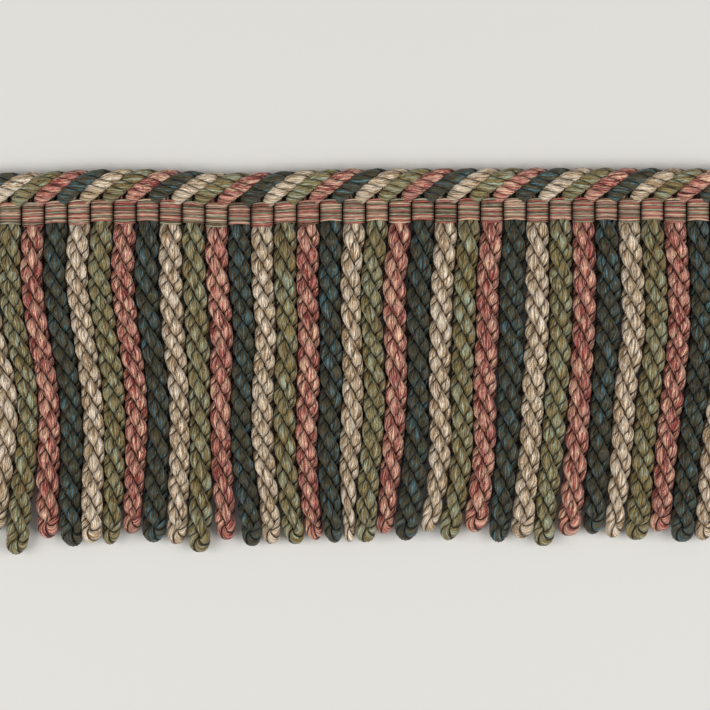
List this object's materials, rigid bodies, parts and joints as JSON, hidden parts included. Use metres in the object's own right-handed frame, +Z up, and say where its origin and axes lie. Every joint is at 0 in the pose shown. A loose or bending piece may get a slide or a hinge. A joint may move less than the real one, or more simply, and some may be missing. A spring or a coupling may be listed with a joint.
{
  "type": "bullion fringe",
  "caption": "Flat cut length of bullion fringe: a woven heading band with slanting rope wraps along its top and close-set twisted cord bullions, in four muted colours, hanging below.",
  "frame": {"origin": "centre of the fringe's outline, on the surface it lies on", "axes": "+X along the fringe, +Y from the bullions' tips to the heading, +Z up from the surface through the front"},
  "size_m": [0.33, 0.1672, 0.0114],
  "materials": {
    "band_yarn": "fine warp yarns in brick, pink, cream and sage, matt with a slight sheen",
    "cream_yarn": "soft spun yarn in cream and beige streaks, slight sheen along the filaments",
    "sage_yarn": "soft spun yarn in sage, mustard and blue-green streaks, slight sheen along the filaments",
    "rose_yarn": "soft spun yarn in brick, rose, mauve and peach streaks, slight sheen along the filaments",
    "teal_yarn": "soft spun yarn in dark teal, blue and olive brown streaks, slight sheen along the filaments"
  },
  "bodies": {
    "root": {"woven_band": "band_yarn", "cream_rope": "cream_yarn", "sage_rope": "sage_yarn", "rose_rope": "rose_yarn", "teal_rope": "teal_yarn"}
  },
  "joints": []
}
